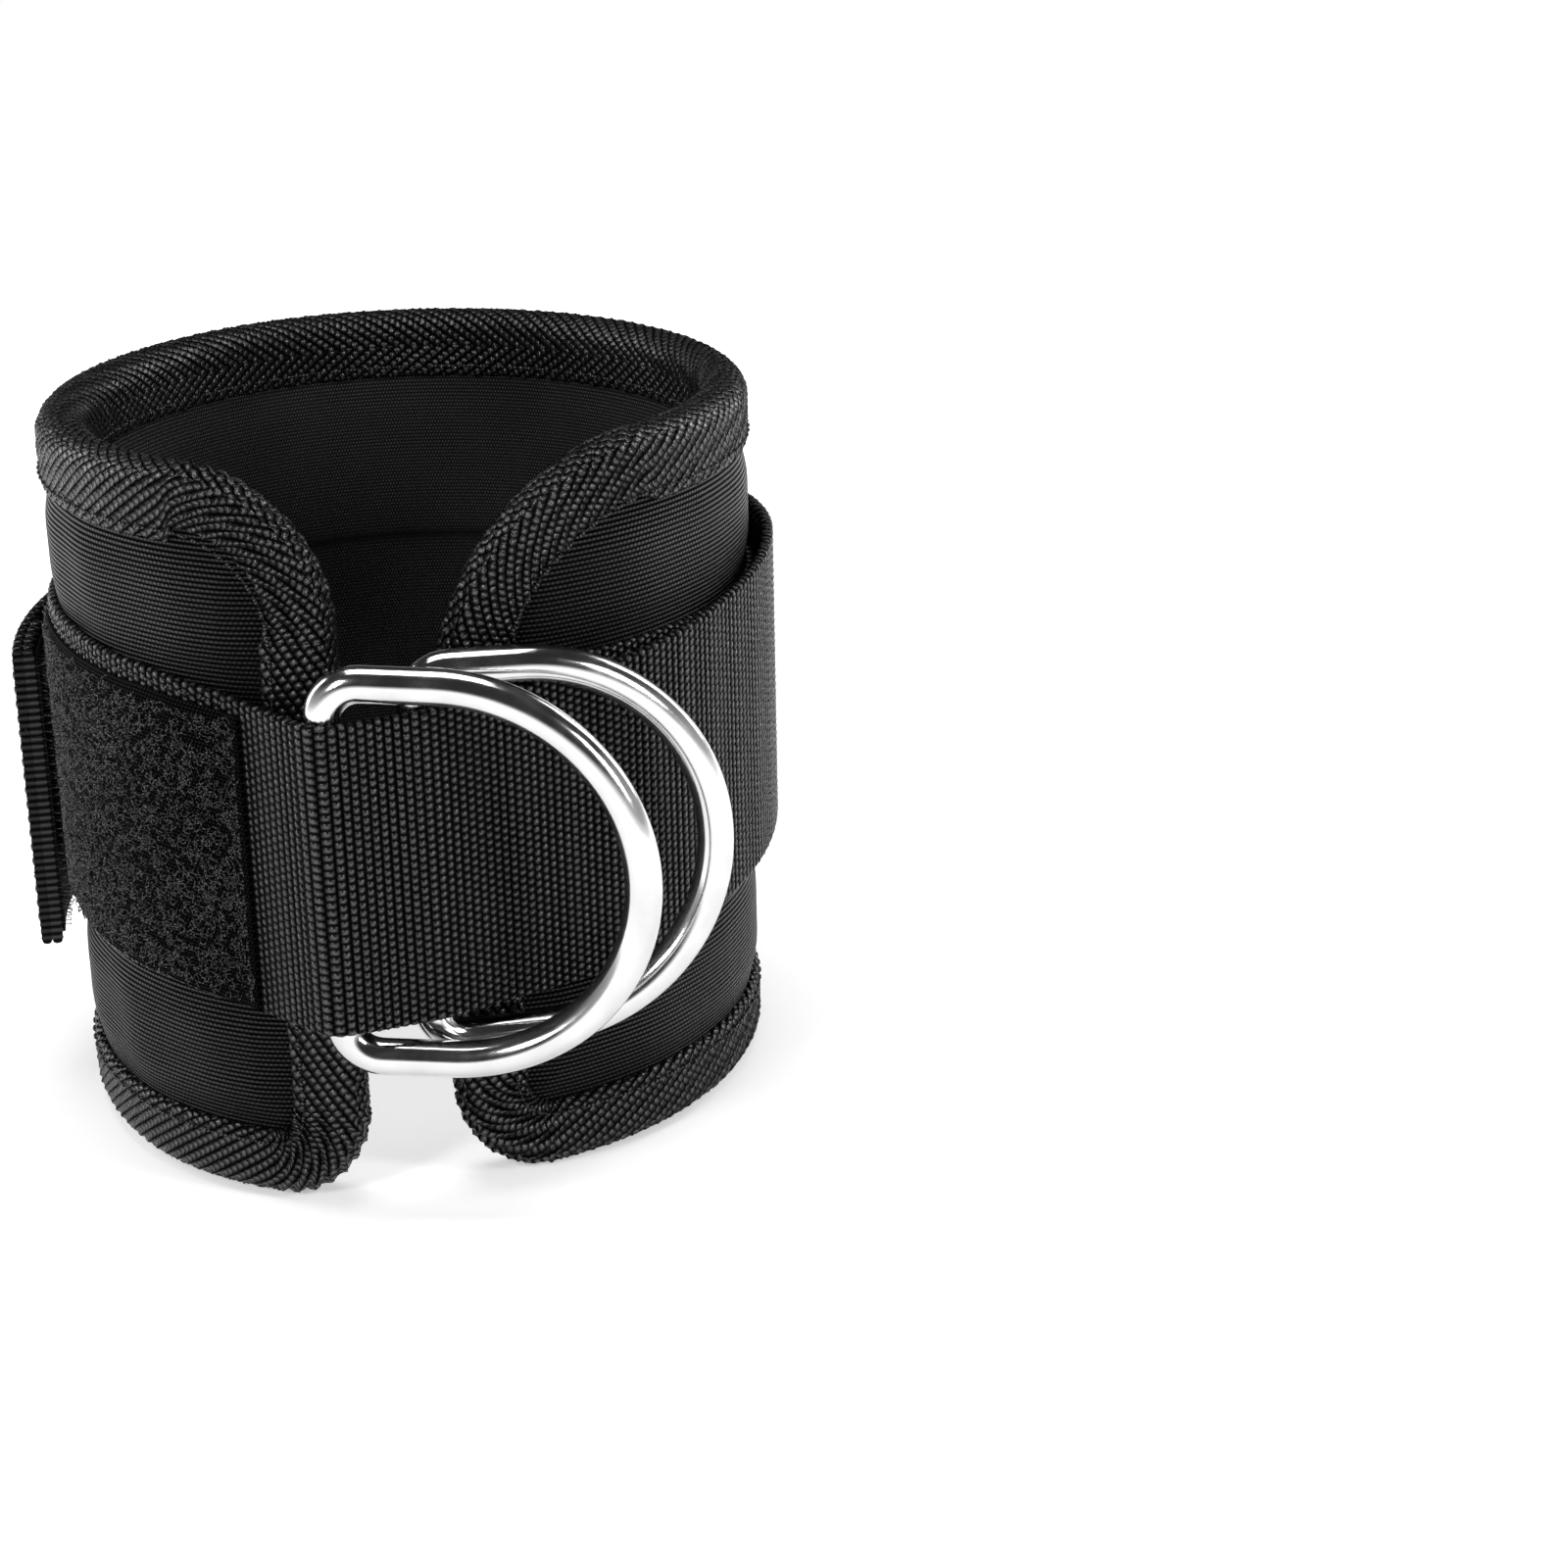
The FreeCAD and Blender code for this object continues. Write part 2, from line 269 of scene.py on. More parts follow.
class Belt:
    """A curve seen from above, followed by its length, with its outward side."""

    STEP = 0.25

    def __init__(self, points, blur=0.0):
        steps = np.hypot(*np.diff(points, axis=0).T)
        keep = np.concatenate([[True], steps > 1e-6])
        points = points[keep]
        self.knots = np.concatenate([[0.0], np.cumsum(np.hypot(*np.diff(points, axis=0).T))])
        self.kept = keep
        self.length = self.knots[-1]
        self.s = np.arange(0.0, self.length, self.STEP)
        xy = np.stack([np.interp(self.s, self.knots, points[:, axis]) for axis in (0, 1)], 1)
        if blur:
            reach = int(3.0 * blur / self.STEP)
            kernel = np.exp(-0.5 * (np.arange(-reach, reach + 1) * self.STEP / blur) ** 2)
            kernel /= kernel.sum()
            for axis in (0, 1):
                ends = [2 * xy[0, axis] - xy[reach:0:-1, axis], xy[:, axis],
                        2 * xy[-1, axis] - xy[-2:-reach - 2:-1, axis]]
                xy[:, axis] = np.convolve(np.concatenate(ends), kernel, "valid")
        tangent = np.gradient(xy, axis=0)
        tangent /= np.hypot(*tangent.T)[:, None]
        self.xy = xy
        self.normal = np.stack([tangent[:, 1], -tangent[:, 0]], 1)

    def place(self, s, offset):
        """Points at lengths s along the curve, a distance offset outside it."""
        s = np.asarray(s, float)
        out = [np.interp(s, self.s, self.xy[:, axis]) +
               offset * np.interp(s, self.s, self.normal[:, axis]) for axis in (0, 1)]
        return np.stack(out, -1)

    def outward(self, s):
        return np.stack([np.interp(s, self.s, self.normal[:, axis]) for axis in (0, 1)], -1)

    def lengths_at(self, angles):
        """A function from the normal angles given for the knots to lengths along the curve."""
        angles = angles[self.kept]
        return lambda angle: float(np.interp(angle, angles, self.knots))


def stand(belt, s, z, offset):
    """Places on the upright surface over a belt, as x, y, z."""
    flat = belt.place(s, offset)
    return np.concatenate([flat, np.broadcast_to(z, np.shape(s))[..., None]], -1)


pad_points, pad_angles = belt_points(PAD_CIRCLES, -90.0, 272.0)
PAD = Belt(pad_points, blur=1.0)
pad_s = PAD.lengths_at(pad_angles)
front = PAD.xy[:, 1] < 0.0
early = PAD.s < PAD.length / 2.0
S_RIGHT = float(np.interp(RIGHT_END_X, PAD.xy[front & early, 0], PAD.s[front & early]))
S_LEFT = float(np.interp(LEFT_END_X, PAD.xy[front & ~early, 0], PAD.s[front & ~early]))

sewn = PAD.s[(PAD.s > pad_s(SEWN_START)) & (PAD.s < pad_s(SEWN_END - 4.0))]
sewn_points = PAD.place(sewn, 0.0)
free_points, free_angles = belt_points(FREE_CIRCLES, tangent_angle(FOOT, CROSSING_CIRCLES[1]),
                                       TIP_END)
STRAP = Belt(np.concatenate([sewn_points, free_points]), blur=0.9)
no_angles = np.full(len(sewn_points), -999.0)       # strap_s finds places on the sewn part
free_s = STRAP.lengths_at(np.concatenate([no_angles, free_angles]))
S_FOOT = float(STRAP.knots[len(sewn_points)])


def strap_s(angle):
    """Length along the strap where its sewn part has a normal angle."""
    return pad_s(angle) - pad_s(SEWN_START)


# ---- meshes ---------------------------------------------------------------------
def make_mesh(name, verts, faces, uv=None, flat_faces=0):
    """A mesh object from points in millimetres; the last flat_faces faces stay flat."""
    sizes = np.concatenate([np.full(len(f), f.shape[1]) for f in faces])
    loops = np.concatenate([f.ravel() for f in faces])
    starts = np.concatenate([[0], np.cumsum(sizes)[:-1]])
    mesh = bpy.data.meshes.new(name)
    mesh.vertices.add(len(verts))
    mesh.vertices.foreach_set("co", (np.asarray(verts) * MM).astype(np.float32).ravel())
    mesh.loops.add(len(loops))
    mesh.loops.foreach_set("vertex_index", loops.astype(np.int32))
    mesh.polygons.add(len(sizes))
    mesh.polygons.foreach_set("loop_start", starts.astype(np.int32))
    mesh.update(calc_edges=True)
    flat = np.zeros(len(sizes), bool)
    if flat_faces:
        flat[-flat_faces:] = True
    mesh.polygons.foreach_set("use_smooth", ~flat)
    if uv is not None:
        layer = mesh.uv_layers.new(name="weave")
        layer.data.foreach_set("uv", uv[loops].astype(np.float32).ravel())
    mesh.validate()
    obj = bpy.data.objects.new(name, mesh)
    bpy.context.scene.collection.objects.link(obj)
    return obj


def turned_outward(verts, quads, caps):
    """The same faces, flipped if they enclose their space inside out."""
    a, b, c, d = (verts[quads[:, corner]] for corner in range(4))
    volume = np.einsum("ij,ij->i", a, np.cross(b, c)).sum()
    volume += np.einsum("ij,ij->i", a, np.cross(c, d)).sum()
    if volume < 0.0:
        return quads[:, ::-1], [cap[:, ::-1] for cap in caps]
    return quads, caps


def ring_quads(count, size, closed):
    """Quads between following rings of a loft, each ring closed on itself."""
    rows = np.arange(count if closed else count - 1)
    i, j = np.meshgrid(rows, np.arange(size), indexing="ij")
    near, far = i * size, ((i + 1) % count) * size
    step = (j + 1) % size
    return np.stack([near + j, far + j, far + step, near + step], -1).reshape(-1, 4)


def loft(name, rings, uv=None, closed=False):
    """A solid through closed rings of points, with flat caps unless it closes on itself."""
    count, size = rings.shape[:2]
    verts = rings.reshape(-1, 3)
    quads = ring_quads(count, size, closed)
    caps = []
    if not closed:
        first = np.arange(size)[None, :]
        caps = [first, (first + (count - 1) * size)[:, ::-1]]
    quads, caps = turned_outward(verts, quads, caps)
    flat_uv = None if uv is None else uv.reshape(-1, 2)
    return make_mesh(name, verts, [quads, *caps], flat_uv, flat_faces=len(caps))


def tubes(name, paths, radius, sides=3):
    """One mesh of many thin round tubes, each along its own row of points."""
    count, points = paths.shape[:2]
    tangent = np.gradient(paths, axis=1)
    tangent /= np.linalg.norm(tangent, axis=2, keepdims=True) + 1e-12
    guide = rng.normal(size=(count, 1, 3)) + np.zeros_like(paths)
    first = np.cross(tangent, guide)
    first /= np.linalg.norm(first, axis=2, keepdims=True) + 1e-12
    second = np.cross(tangent, first)
    turn = np.arange(sides) / sides * 2.0 * math.pi
    profile = np.broadcast_to(radius, (count, points))[..., None, None]
    verts = (paths[:, :, None] + profile * (np.cos(turn)[:, None] * first[:, :, None] +
                                            np.sin(turn)[:, None] * second[:, :, None]))
    base = ring_quads(points, sides, False)
    shift = (np.arange(count) * points * sides)[:, None, None]
    quads = (base[None] + shift).reshape(-1, 4)
    start_cap = (np.arange(sides)[None, None] + shift).reshape(-1, sides)
    end_cap = (start_cap + (points - 1) * sides)[:, ::-1]
    quads, caps = turned_outward(verts.reshape(-1, 3), quads, [start_cap, end_cap])
    lengths = np.linspace(0.0, 3.0, points)[None, :, None] + np.zeros((count, points, sides))
    around = np.broadcast_to(np.arange(sides) / sides, (count, points, sides))
    uv = np.stack([lengths, around], -1).reshape(-1, 2)
    return make_mesh(name, verts.reshape(-1, 3), [quads, *caps], uv)


# ---- materials ------------------------------------------------------------------
def new_material(name):
    material = bpy.data.materials.new(name)
    material.use_nodes = True
    return material, material.node_tree, material.node_tree.nodes["Principled BSDF"]


def noise(tree, scale, detail=3.0):
    """Cloudy noise fixed to the object, 0 to 1; scale is in clouds per metre."""
    place = tree.nodes.new("ShaderNodeTexCoord")
    node = tree.nodes.new("ShaderNodeTexNoise")
    node.inputs["Scale"].default_value = scale
    node.inputs["Detail"].default_value = detail
    tree.links.new(place.outputs["Object"], node.inputs["Vector"])
    return Field(tree, node.outputs["Fac"])


def ramp(tree, value, low, high):
    """A colour between two greys or colours, driven by a value from 0 to 1."""
    node = tree.nodes.new("ShaderNodeMix")
    node.data_type = "RGBA"
    node.inputs["A"].default_value = (*low, 1.0)
    node.inputs["B"].default_value = (*high, 1.0)
    tree.links.new(value.socket, node.inputs["Factor"])
    return node.outputs["Result"]


def grey(value):
    return value, value, value


def clamp(value):
    return value.math("MAXIMUM", 0.0).math("MINIMUM", 1.0)


def cloth_material(name, weave, dark, light, depth, rough, shine):
    """Woven or knitted cloth: the weave gives the bump, the gloss, and a colour painted darker in
    its valleys as shade.
    """
    material, tree, shader = new_material(name)
    uv = tree.nodes.new("ShaderNodeUVMap")
    uv.uv_map = "weave"
    split = tree.nodes.new("ShaderNodeSeparateXYZ")
    tree.links.new(uv.outputs["UV"], split.inputs["Vector"])
    u, v = Field(tree, split.outputs["X"]), Field(tree, split.outputs["Y"])
    fibres = noise(tree, 5200.0, 2.0)
    patches = noise(tree, 90.0, 2.0)
    threads = weave(u, v)
    bump = tree.nodes.new("ShaderNodeBump")
    bump.inputs["Distance"].default_value = depth * MM
    tree.links.new((threads + fibres * 0.12).socket, bump.inputs["Height"])
    tree.links.new(bump.outputs["Normal"], shader.inputs["Normal"])
    raised = power(clamp(threads), 3.0)
    # base colour lighter on raised threads and darker in the weave's valleys, which is painted
    # shade; fibres and patches add random tone
    painted_valley_shade_and_tone = clamp(raised + fibres * 0.30 + patches * 0.30 - 0.30)
    tree.links.new(ramp(tree, painted_valley_shade_and_tone, grey(dark), grey(light)), shader.inputs["Base Color"])
    glint = clamp(raised * shine)
    tree.links.new(glint.socket, shader.inputs["Specular IOR Level"])
    gloss = clamp(rough + 0.12 + threads * -0.12 + patches * 0.10 - 0.05)
    tree.links.new(gloss.socket, shader.inputs["Roughness"])
    shader.inputs["Sheen Weight"].default_value = 0.01
    shader.inputs["Sheen Roughness"].default_value = 0.45
    return material


def chrome_material():
    material, tree, shader = new_material("polished_chrome")
    smudges = noise(tree, 160.0, 5.0)
    scratches = noise(tree, 900.0, 2.0)
    shader.inputs["Metallic"].default_value = 1.0
    tree.links.new(ramp(tree, smudges, grey(0.50), grey(0.78)), shader.inputs["Base Color"])
    gloss = clamp(power(smudges, 2.0) * 0.28 + scratches * 0.08 + 0.04)
    tree.links.new(gloss.socket, shader.inputs["Roughness"])
    bump = tree.nodes.new("ShaderNodeBump")
    bump.inputs["Distance"].default_value = 0.02 * MM
    bump.inputs["Strength"].default_value = 0.35
    tree.links.new(smudges.socket, bump.inputs["Height"])
    tree.links.new(bump.outputs["Normal"], shader.inputs["Normal"])
    return material


def distance_from_axis(tree):
    """Metres from the object's upright axis."""
    place = tree.nodes.new("ShaderNodeTexCoord")
    split = tree.nodes.new("ShaderNodeSeparateXYZ")
    tree.links.new(place.outputs["Object"], split.inputs["Vector"])
    x, y = Field(tree, split.outputs["X"]), Field(tree, split.outputs["Y"])
    return power(x * x + y * y, 0.5)


def floor_material():
    material, tree, shader = new_material("pale_floor")
    tree.links.new(ramp(tree, noise(tree, 3.0), grey(0.86), grey(0.90)), shader.inputs["Base Color"])
    glow = clamp(distance_from_axis(tree) * GLOW_RISE + GLOW_MIDDLE) * FLOOR_GLOW
    tree.links.new(glow.socket, shader.inputs["Emission Strength"])
    shader.inputs["Roughness"].default_value = 0.9
    shader.inputs["Specular IOR Level"].default_value = 0.1
    shader.inputs["Emission Color"].default_value = (1.0, 1.0, 1.0, 1.0)
    return material


WEBBING = cloth_material("nylon_webbing", webbing_weave, 0.0003, 0.011, 0.5, 0.26, 0.85)
BINDING = cloth_material("twill_binding", twill_weave, 0.0003, 0.026, 0.7, 0.24, 1.1)
KNIT = cloth_material("ribbed_knit", knit_weave, 0.0003, 0.009, 0.6, 0.38, 0.42)
LINING = cloth_material("smooth_lining", lining_weave, 0.012, 0.055, 0.15, 0.60, 0.6)
LOOP_BASE = cloth_material("loop_backing", lining_weave, 0.001, 0.006, 0.1, 0.7, 0.15)
LOOP_HAIR = cloth_material("loop_hair", thread_weave, 0.012, 0.130, 0.02, 0.32, 0.8)
HOOK_BASE = cloth_material("hook_backing", lining_weave, 0.010, 0.040, 0.10, 0.45, 0.3)
HOOK_HAIR = cloth_material("hook_bristle", thread_weave, 0.050, 0.160, 0.02, 0.30, 0.5)
THREAD = cloth_material("sewing_thread", thread_weave, 0.004, 0.050, 0.05, 0.34, 0.5)
CHROME = chrome_material()
FLOOR = floor_material()


def finish_piece(obj, materials, body=None, nodes=()):
    """Gives a piece its materials, its body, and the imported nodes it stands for."""
    for material in materials:
        obj.data.materials.append(material)
    if body:
        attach(obj, body)
    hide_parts(*nodes)


# ---- the pad --------------------------------------------------------------------
def outline_lows_highs(s, inset):
    """Lowest and highest z of the pad's outline at lengths along the belt."""
    low, high = np.full(len(s), inset), np.full(len(s), HEIGHT - inset)
    corners = ((S_RIGHT, 1.0, RIGHT_BOTTOM_CORNER, RIGHT_TOP_CORNER),
               (S_LEFT, -1.0, LEFT_BOTTOM_CORNER, LEFT_TOP_CORNER))
    for end, sign, bottom, top in corners:
        reach = (s - end) * sign - inset
        for radius, edge, way in ((bottom, low, 1.0), (top, high, -1.0)):
            r = radius - inset
            rise = r - np.sqrt(np.clip(r * r - np.clip(r - reach, 0.0, r) ** 2, 0.0, None))
            edge += way * rise
    return low, high


def pad_swell(s, z):
    """Two shares, 0 to 1: how far a place is free of the bound edge, and of the strap."""
    edge = np.minimum(np.minimum(z, HEIGHT - z), np.minimum(s - S_RIGHT, S_LEFT - s))
    from_edge = smooth(edge, BINDING_WIDTH - 2.0, BINDING_WIDTH + 6.0)
    from_strap = smooth(np.abs(z - SEWN_CENTRE_Z), WEB_WIDTH / 2.0 - 1.0, WEB_WIDTH / 2.0 + 6.0)
    return from_edge, from_strap


def pad_wrinkles(s, z):
    """Shallow folds where the flaps bend, mostly near the left front."""
    left = np.exp(-((s - S_LEFT + 42.0) / 30.0) ** 2)
    right = 0.5 * np.exp(-((s - S_RIGHT - 38.0) / 26.0) ** 2)
    folds = np.sin(s * 0.36 + z * 0.10) + 0.6 * np.sin(s * 0.21 - z * 0.16 + 1.3)
    return 0.16 * folds * (left + right)


def build_pad():
    inset = 3.0                # the pad's edge stays hidden inside the folded tape
    s = np.linspace(S_RIGHT + inset, S_LEFT - inset, int((S_LEFT - S_RIGHT) / PAD_STEP))
    rows = int(HEIGHT / PAD_STEP)
    low, high = outline_lows_highs(s, inset)
    share = np.linspace(0.0, 1.0, rows)
    z = low[:, None] + (high - low)[:, None] * share[None, :]
    ss = np.broadcast_to(s[:, None], z.shape)
    from_edge, from_strap = pad_swell(ss, z)
    folds = pad_wrinkles(ss, z)
    outer = from_edge * from_strap * (PAD_SWELL + folds) - EDGE_PRESS * (1.0 - from_edge)
    inner = -PAD_THICK - from_edge * (0.5 - 0.6 * folds) + EDGE_PRESS * (1.0 - from_edge)
    front_face = stand(PAD, ss, z, outer)
    back_face = stand(PAD, ss, z, inner)
    rings = np.concatenate([front_face, back_face[:, ::-1]], axis=1)
    uv = np.stack([ss, z], -1)
    rings_uv = np.concatenate([uv, uv[:, ::-1]], axis=1)
    pad = loft("pad", rings, rings_uv)
    finish_piece(pad, [KNIT, LINING], "pad", ("foam_core", "face_fabric", "inner_lining"))
    quads = (len(s) - 1) * 2 * rows
    column = np.arange(quads) % (2 * rows)
    slots = np.zeros(len(pad.data.polygons), np.int32)
    slots[:quads] = column >= rows
    pad.data.polygons.foreach_set("material_index", slots)


# ---- the binding ----------------------------------------------------------------
def outline_points():
    """The pad's outline, unrolled: up the right end, along the top, down and back."""
    corners = (
        (S_RIGHT + RIGHT_TOP_CORNER, HEIGHT - RIGHT_TOP_CORNER, RIGHT_TOP_CORNER, 180.0),
        (S_LEFT - LEFT_TOP_CORNER, HEIGHT - LEFT_TOP_CORNER, LEFT_TOP_CORNER, 90.0),
        (S_LEFT - LEFT_BOTTOM_CORNER, LEFT_BOTTOM_CORNER, LEFT_BOTTOM_CORNER, 0.0),
        (S_RIGHT + RIGHT_BOTTOM_CORNER, RIGHT_BOTTOM_CORNER, RIGHT_BOTTOM_CORNER, -90.0),
    )
    points = [(S_RIGHT, HEIGHT / 2.0)]
    for cs, cz, radius, first in corners:
        for angle in np.linspace(first, first - 90.0, 40):
            ux, uz = unit(angle)
            points.append((cs + radius * ux, cz + radius * uz))
    points.append((S_RIGHT, HEIGHT / 2.0))
    return np.array(points)


# Belt's outward side points into the pad here, because this outline runs clockwise.
OUTLINE = Belt(outline_points(), blur=1.5)


def binding_section():
    """The tape's U, from its edge on the outer face round the rim to the inner face."""
    face = np.arange(9.2, RIM_RADIUS, -0.4)
    turn = np.linspace(90.0, 270.0, 28)
    rim = [(RIM_RADIUS + RIM_RADIUS * math.cos(math.radians(a)),
            -PAD_THICK / 2.0 + RIM_RADIUS * math.sin(math.radians(a))) for a in turn]
    outer = [(10.1, -0.2), (10.05, 0.35), (9.75, 0.8)] + [(d, TAPE) for d in face] + rim
    inner = [(d, -PAD_THICK - TAPE) for d in face[::-1]]
    inner += [(9.75, -PAD_THICK - 0.8), (10.05, -PAD_THICK - 0.35), (10.1, -PAD_THICK + 0.2)]
    return np.array(outer + inner)


def closed_section(shown):
    """The whole closed section, the tape width at each point, and the way into the tape."""
    hidden = np.array([(9.0, -4.2), (3.2, -4.0), (1.8, -2.5), (3.2, -1.0), (9.0, -0.8)])
    run = np.concatenate([[0.0], np.cumsum(np.hypot(*np.diff(shown, axis=0).T))])
    back = np.linspace(run[-1], 0.0, len(hidden) + 2)[1:-1]
    along = np.gradient(shown, axis=0)
    along /= np.hypot(*along.T)[:, None]
    into = np.stack([-along[:, 1], along[:, 0]], 1)
    into = np.concatenate([into, np.zeros((len(hidden), 2))])
    return np.concatenate([shown, hidden]), np.concatenate([run, back]), into


def tape_sink(tt, vv, turning, width):
    """How far weave and puckers sink the tape; it gathers where its path turns."""
    gather = smooth(turning, 0.01, 0.05)[:, None]
    pucker = np.sin((tt * 0.8 + np.abs(vv - width / 2.0) * 0.75) * 2.0 * math.pi / PUCKER_PITCH)
    cords = TWILL_RELIEF * (twill_weave(tt, vv) - 0.5)
    return cords + (0.06 + 0.22 * gather) * pucker


def build_binding(name, start, end, nodes):
    shown = binding_section()
    section, v, into = closed_section(shown)
    width = v[len(shown) - 1]
    t = np.linspace(start, end, len(np.arange(start, end, THREAD_STEP)))
    tt, vv = np.meshgrid(t, v, indexing="ij")
    inward = OUTLINE.outward(t)
    edge = OUTLINE.place(t, 0.0)
    turning = np.abs(np.gradient(np.unwrap(np.arctan2(inward[:, 1], inward[:, 0])), t))
    sink = tape_sink(tt, vv, turning, width)
    # the tape's own edges don't sink; they waver a little in width instead
    face = smooth(section[:, 0] * -1.0, -10.2, -9.4)[None, :]
    ragged = 0.18 * np.sin(tt * 2.1) + 0.14 * np.sin(tt * 0.77 + 1.0)
    # round the top corners the tape is pulled narrower
    upper = smooth(edge[:, 1], HEIGHT - 30.0, HEIGHT - 8.0)[:, None]
    narrow = 1.0 - 0.22 * upper * smooth(turning, 0.01, 0.04)[:, None]
    depth = section[None, :, 0] * narrow + into[None, :, 0] * sink * face
    depth = depth + ragged * (1.0 - face) * 0.8
    offset = section[None, :, 1] + into[None, :, 1] * sink * face
    s = edge[:, None, 0] + inward[:, None, 0] * depth
    z = edge[:, None, 1] + inward[:, None, 1] * depth
    binding = loft(name, stand(PAD, s, z, offset), np.stack([tt, vv], -1))
    finish_piece(binding, [BINDING], "pad", nodes)


# ---- the strap ------------------------------------------------------------------
def strap_centre(s):
    """Mid-height of the strap along its whole length."""
    marks = [
        (0.0, SEWN_CENTRE_Z), (strap_s(150.0), 52.5), (strap_s(190.0), 53.6), (strap_s(225.0), 52.6),
        (S_FOOT, 50.4), (free_s(-90.0), 50.0), (free_s(WRAP_START), 50.8), (free_s(-5.0), 57.2),
        (free_s(20.0), 57.2), (free_s(TIP_START), 47.6), (free_s(TIP_END), 44.6),
    ]
    return np.interp(s, [m[0] for m in marks], [m[1] for m in marks])


def strap_width(s):
    marks = [0.0, strap_s(200.0), S_FOOT + 2.0, free_s(-80.0), free_s(WRAP_START), STRAP.length]
    return WEB_WIDTH + np.interp(s, marks, [0.0, 1.0, -1.2, -2.0, -0.6, 0.0])


def build_ribbon(name, start, end, step=THREAD_STEP, fine_inside=False, thick=WEB_THICK, lift=0.0,
                 width=None, relief=WEB_RELIEF, drop=0.0):
    """A length of webbing standing on edge along the strap's curve."""
    s = np.linspace(start, end, max(2, int((end - start) / step) + 1))
    rows = int(WEB_WIDTH / step)
    inside_rows = rows if fine_inside else 14
    edge = np.linspace(0.0, math.pi, 7)[1:-1]
    half_thick = thick / 2.0
    across = np.concatenate([np.linspace(1.0, -1.0, rows), np.full(5, -1.0),
                             np.linspace(-1.0, 1.0, inside_rows), np.full(5, 1.0)])
    bulge = np.concatenate([np.zeros(rows), -np.sin(edge), np.zeros(inside_rows), np.sin(edge)])
    height = np.concatenate([np.full(rows, 1.0), np.cos(edge), np.full(inside_rows, -1.0),
                             -np.cos(edge)])
    full = strap_width(s) if width is None else np.full(len(s), width)
    half = full[:, None] / 2.0 - half_thick * 0.8
    ss = np.broadcast_to(s[:, None], (len(s), len(across)))
    v = across[None, :] * half + bulge[None, :] * half_thick * 0.8
    weave = webbing_weave(ss, v) if relief else np.zeros_like(v)
    beads = (ridge(ss / COLUMN_PITCH) - 0.5) * 0.22
    h = half_thick + height[None, :] * (half_thick + relief * (weave - 0.6)) + lift
    v = v + bulge[None, :] * beads * (relief > 0.0)
    z = strap_centre(s)[:, None] + v - drop
    return loft(name, stand(STRAP, ss, z, h), np.stack([ss, v], -1))


def strap_point(s):
    x, y = STRAP.place(s, WEB_THICK / 2.0)
    return x * MM, y * MM, float(strap_centre(s)) * MM


def bend_over(obj, first, second, s, reach):
    """Bakes a piece's placing into its mesh; the piece is not bent from one body to the next."""
    strap_point(s - reach)
    strap_point(s + reach)
    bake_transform(obj)


def build_strap():
    sewn_end = strap_s(240.0)
    sewn_strap = build_ribbon("strap_sewn_web", 0.0, sewn_end, step=0.5)
    finish_piece(sewn_strap, [WEBBING], "pad", ("strap_sewn",))
    foot_end = S_FOOT + 9.0
    foot = build_ribbon("strap_foot_web", sewn_end, foot_end)
    finish_piece(foot, [WEBBING], None, ())
    bend_over(foot, "pad", "crossing", S_FOOT + 1.0, 5.0)
    joints = [free_s(WRAP_START + (TIP_START - WRAP_START) * k / LINK_COUNT)
              for k in range(LINK_COUNT + 1)]
    bodies = ["crossing"] + ["wrap_%d" % (k + 1) for k in range(LINK_COUNT)] + ["tip"]
    middles = [joints[0] - 9.0] + [(a + b) / 2.0 for a, b in zip(joints, joints[1:])]
    middles.append(joints[-1] + 9.0)
    crossing = build_ribbon("strap_crossing_web", foot_end, middles[0])
    finish_piece(crossing, [WEBBING], "crossing", ("strap_crossing",))
    for k in range(LINK_COUNT + 1):
        link = build_ribbon("strap_web_%d" % (k + 1), middles[k], middles[k + 1])
        nodes = ("strap_wrap_%d" % (k + 1),) if k < LINK_COUNT else ()
        finish_piece(link, [WEBBING], None, nodes)
        bend_over(link, bodies[k], bodies[k + 1], joints[k], 6.0)
    return middles[-1]


def build_tip(start):
    end = free_s(TIP_END)
    tip = build_ribbon("strap_tip_web", start, end, fine_inside=True)
    finish_piece(tip, [WEBBING], "tip", ("strap_tip",))
    hem = end - free_s(TIP_END - HEM_LENGTH)
    fold = build_ribbon("tip_fold_web", end - hem, end + 0.1, lift=-WEB_THICK, fine_inside=True)
    finish_piece(fold, [WEBBING], "tip", ("tip_fold",))
    return end, hem


# ---- loop tape and hook tape ------------------------------------------------------
def on_strap(s, z, height):
    """Points a height above the strap's inner face, as x, y, z."""
    return stand(STRAP, s, z, height)


def curls(s, v, base, size, points, rise):
    """Curled hair paths rooted on the strap: small loops that lean every way."""
    count = len(s)
    t = np.linspace(0.0, 1.0, points)[None, :]
    heading = rng.uniform(0.0, 2.0 * math.pi, (count, 1))
    sweep = rng.uniform(2.2, 5.2, (count, 1)) * rng.choice([-1.0, 1.0], (count, 1))
    radius = rng.uniform(0.5, 1.0, (count, 1)) * size
    turn = heading + sweep * t
    ds = radius * (np.cos(turn) - np.cos(heading))
    dv = radius * (np.sin(turn) - np.sin(heading))
    up = base + np.sin(t * math.pi) ** 0.6 * rng.uniform(0.35, 1.0, (count, 1)) * rise
    ss, vv = s[:, None] + ds, v[:, None] + dv
    return on_strap(ss, strap_centre(ss) + vv, up)


